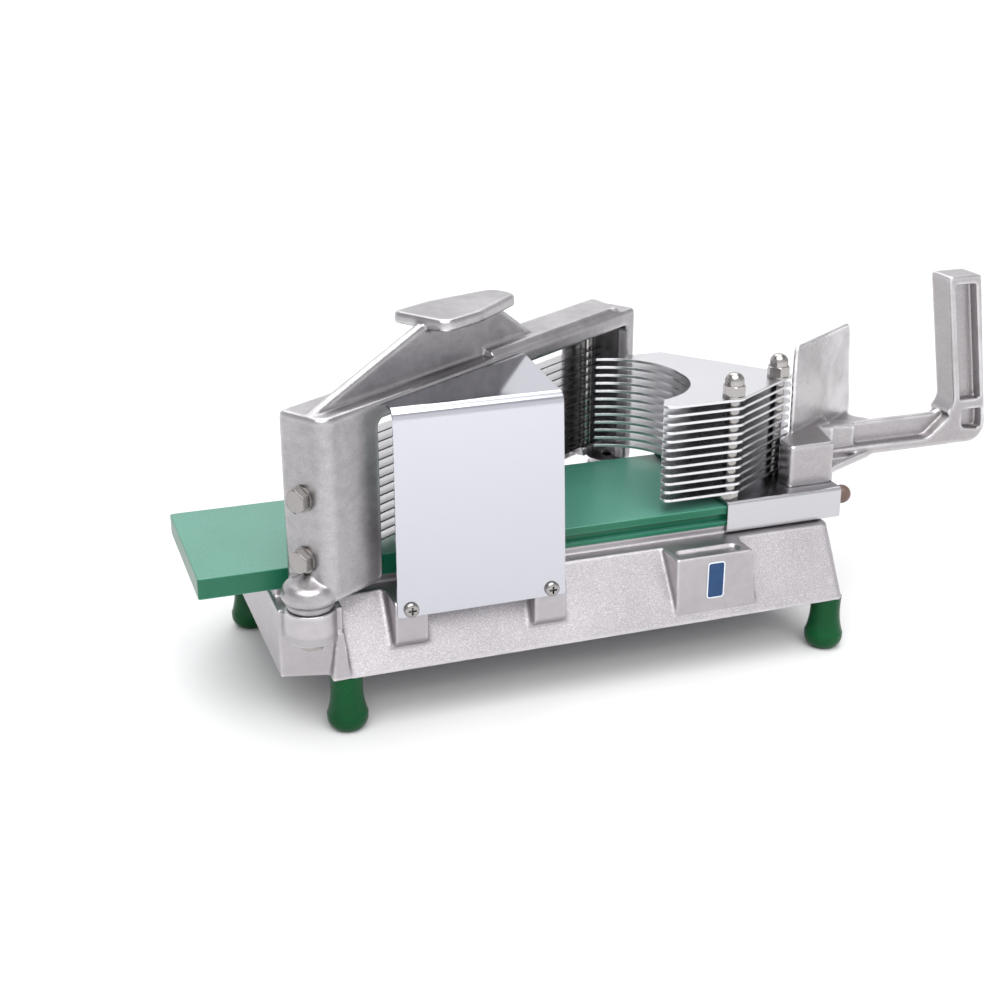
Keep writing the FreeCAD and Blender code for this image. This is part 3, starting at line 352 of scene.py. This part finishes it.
def label_finish():
    """Plain blue film with a thin pale line just inside its rounded rim."""
    f = Finish("label_blue", specular=0.3, coat=0.1, coat_roughness=0.18)
    x, y, z = f.split(f.place)
    c = at(232.1, 0, 60.6)
    half_x, half_z, radius = 0.0059, 0.0120, 0.0022
    dx = f.math("MAXIMUM", f.math("SUBTRACT", f.math("ABSOLUTE", f.math("SUBTRACT", x, c.x)), half_x - radius), 0.0)
    dz = f.math("MAXIMUM", f.math("SUBTRACT", f.math("ABSOLUTE", f.math("SUBTRACT", z, c.z)), half_z - radius), 0.0)
    d = f.math("SQRT", f.math("ADD", f.math("MULTIPLY", dx, dx), f.math("MULTIPLY", dz, dz)))
    # inside the straight parts the distance is to the nearer side
    side = f.math("MAXIMUM", f.math("SUBTRACT", f.math("ABSOLUTE", f.math("SUBTRACT", x, c.x)), half_x - radius),
                  f.math("SUBTRACT", f.math("ABSOLUTE", f.math("SUBTRACT", z, c.z)), half_z - radius))
    reach = f.math("MAXIMUM", d, side)
    line = f.span(reach, radius - 0.00085, radius - 0.00072)
    mottle = f.noise(260, 2, 0.5)
    blue = f.blend(f.span(mottle, 0.3, 0.7), (0.007, 0.037, 0.108), (0.010, 0.047, 0.130))
    f.colour(f.blend(line, blue, (0.62, 0.66, 0.72)))
    f.roughness(f.math("ADD", 0.34, f.math("MULTIPLY", f.math("SUBTRACT", mottle, 0.5), 0.14)))
    f.bump((mottle, 0.1, 0.00004), edge=0.0002)
    return f.mat


board_plastic = board_finish()
foot_rubber = foot_finish()
bumper_rubber = bumper_finish()
label_blue = label_finish()

finish_of = {
    "base_casting": base_cast, "blade_frame": frame_cast, "pusher_handle": handle_cast,
    "slide_board": board_plastic, "end_bumper": bumper_rubber, "label_plate": label_blue,
    "front_guard": guard_steel, "slide_plate": slide_steel,
    "guide_strip_front": plain_steel, "guide_strip_rear": plain_steel, "tension_block": plain_steel,
    "blade_pin_near": plain_steel, "blade_pin_far": plain_steel, "board_screws": plain_steel,
    "foot_screws": plain_steel, "handle_screws": plain_steel,
    "guard_screws": screw_hardware, "tension_bolts": hex_hardware, "tension_washers": hex_hardware, "frame_bolts": hex_hardware,
}
for name, obj in nodes.items():
    if name.startswith("foot_") and name != "foot_screws":
        mat = foot_rubber
    elif name.startswith("blade_") and name[6:].isdigit():
        mat = blade_steel
    elif name.startswith("pusher_plate_"):
        mat = plate_steel
    else:
        mat = finish_of.get(name, bright_hardware)
    if not obj.material_slots:
        obj.data.materials.append(mat)
    for s in obj.material_slots:
        s.material = mat


# ---- castings: every edge and inner corner runs out softly, as poured metal does ------------
def soften(name, grid, steps, inner=0.0):
    o = nodes[name]
    skin = o.modifiers.new("skin", "REMESH")
    skin.mode = "VOXEL"
    skin.voxel_size = grid
    skin.use_smooth_shade = True  # flats stay flat: the grid is finer than any rounding
    ease = o.modifiers.new("rounding", "SMOOTH")
    ease.factor = 0.5
    ease.iterations = steps


soften("blade_frame", 0.0008, 14)
soften("pusher_handle", 0.0007, 8)
soften("base_casting", 0.0009, 4)

# ---- floor -----------------------------------------------------------------
floor_mesh = bpy.data.meshes.new("floor")
span = 16.0
floor_mesh.from_pydata([(-span, -span, 0), (span, -span, 0), (span, span, 0), (-span, span, 0)], [], [(0, 1, 2, 3)])
floor = bpy.data.objects.new("floor", floor_mesh)
bpy.context.scene.collection.objects.link(floor)
paper = Finish("floor_paper", specular=0.15)
paper.colour((0.66, 0.66, 0.664))
paper.roughness(0.75)
floor_mesh.materials.append(paper.mat)

# ---- light -----------------------------------------------------------------
world = bpy.data.worlds.new("studio")
bpy.context.scene.world = world
world.use_nodes = True
wt = world.node_tree
wt.nodes.clear()
w_out = wt.nodes.new("ShaderNodeOutputWorld")
w_back = wt.nodes.new("ShaderNodeBackground")
w_coord = wt.nodes.new("ShaderNodeTexCoord")
w_split = wt.nodes.new("ShaderNodeSeparateXYZ")
wt.links.new(w_coord.outputs["Generated"], w_split.inputs[0])


def world_ramp(source, stops):
    n = wt.nodes.new("ShaderNodeValToRGB")
    wt.links.new(source, n.inputs[0])
    e = n.color_ramp.elements
    for k, (pos, v) in enumerate(stops):
        if k < 2:
            e[k].position = pos
        else:
            e.new(pos)
    for k, (pos, v) in enumerate(sorted(stops)):
        e[k].color = (v, v, v * 1.01, 1)
    return n.outputs[0]


w_abs = wt.nodes.new("ShaderNodeMath")
w_abs.operation = "ABSOLUTE"
wt.links.new(w_split.outputs[1], w_abs.inputs[0])
by_height = world_ramp(w_split.outputs[2], [(0.0, 1.0), (1.0, 0.66), (0.42, 0.96), (0.62, 0.68), (0.80, 0.60)])
by_side = world_ramp(w_abs.outputs[0], [(0.0, 0.64), (1.0, 1.10), (0.40, 0.68), (0.75, 1.02)])
w_mul = wt.nodes.new("ShaderNodeMix")
w_mul.data_type = "RGBA"
w_mul.blend_type = "MULTIPLY"
w_mul.inputs["Factor"].default_value = 1.0
w_cols = [k for k in w_mul.inputs if k.type == "RGBA"]
wt.links.new(by_height, w_cols[0])
wt.links.new(by_side, w_cols[1])
wt.links.new([k for k in w_mul.outputs if k.type == "RGBA"][0], w_back.inputs[0])
wt.links.new(w_back.outputs[0], w_out.inputs[0])
w_back.inputs[1].default_value = 1.0


def far_box(name, azimuth, height, angle, strength, tint=(1, 1, 1)):
    """A wide soft light so far off that it lights the whole floor evenly."""
    data = bpy.data.lights.new(name, "SUN")
    data.angle = math.radians(angle)
    data.energy = strength
    data.color = tint
    o = bpy.data.objects.new(name, data)
    a, e = math.radians(azimuth), math.radians(height)
    way = Vector((math.cos(e) * math.sin(a), -math.cos(e) * math.cos(a), math.sin(e)))
    o.location = way * 3.0
    o.rotation_euler = (-way).to_track_quat("-Z", "Y").to_euler()
    bpy.context.scene.collection.objects.link(o)
    return o


def pool(name, where, towards, size, power):
    data = bpy.data.lights.new(name, "AREA")
    data.shape = "RECTANGLE"
    data.size, data.size_y = size
    data.energy = power
    o = bpy.data.objects.new(name, data)
    o.location = where
    o.rotation_euler = (Vector(towards) - Vector(where)).to_track_quat("-Z", "Y").to_euler()
    bpy.context.scene.collection.objects.link(o)
    o.visible_glossy = False
    return o


# lights the paper in front, which the guard and the rounded corners mirror
pool("paper_light", (-0.05, -0.86, 0.62), (-0.05, -0.55, 0.0), (1.1, 0.30), 4.0)

# azimuth is counted from the front, to the right
far_box("key", -28, 66, 62, 2.25, (1.0, 0.995, 0.985))
far_box("front", 6, 74, 56, 0.75, (0.99, 0.995, 1.0))
far_box("rim", 165, 56, 50, 1.1)

scene = bpy.context.scene
scene.view_settings.view_transform = "Standard"
scene.view_settings.look = "None"
scene.view_settings.exposure = 0.0
scene.view_settings.gamma = 1.0
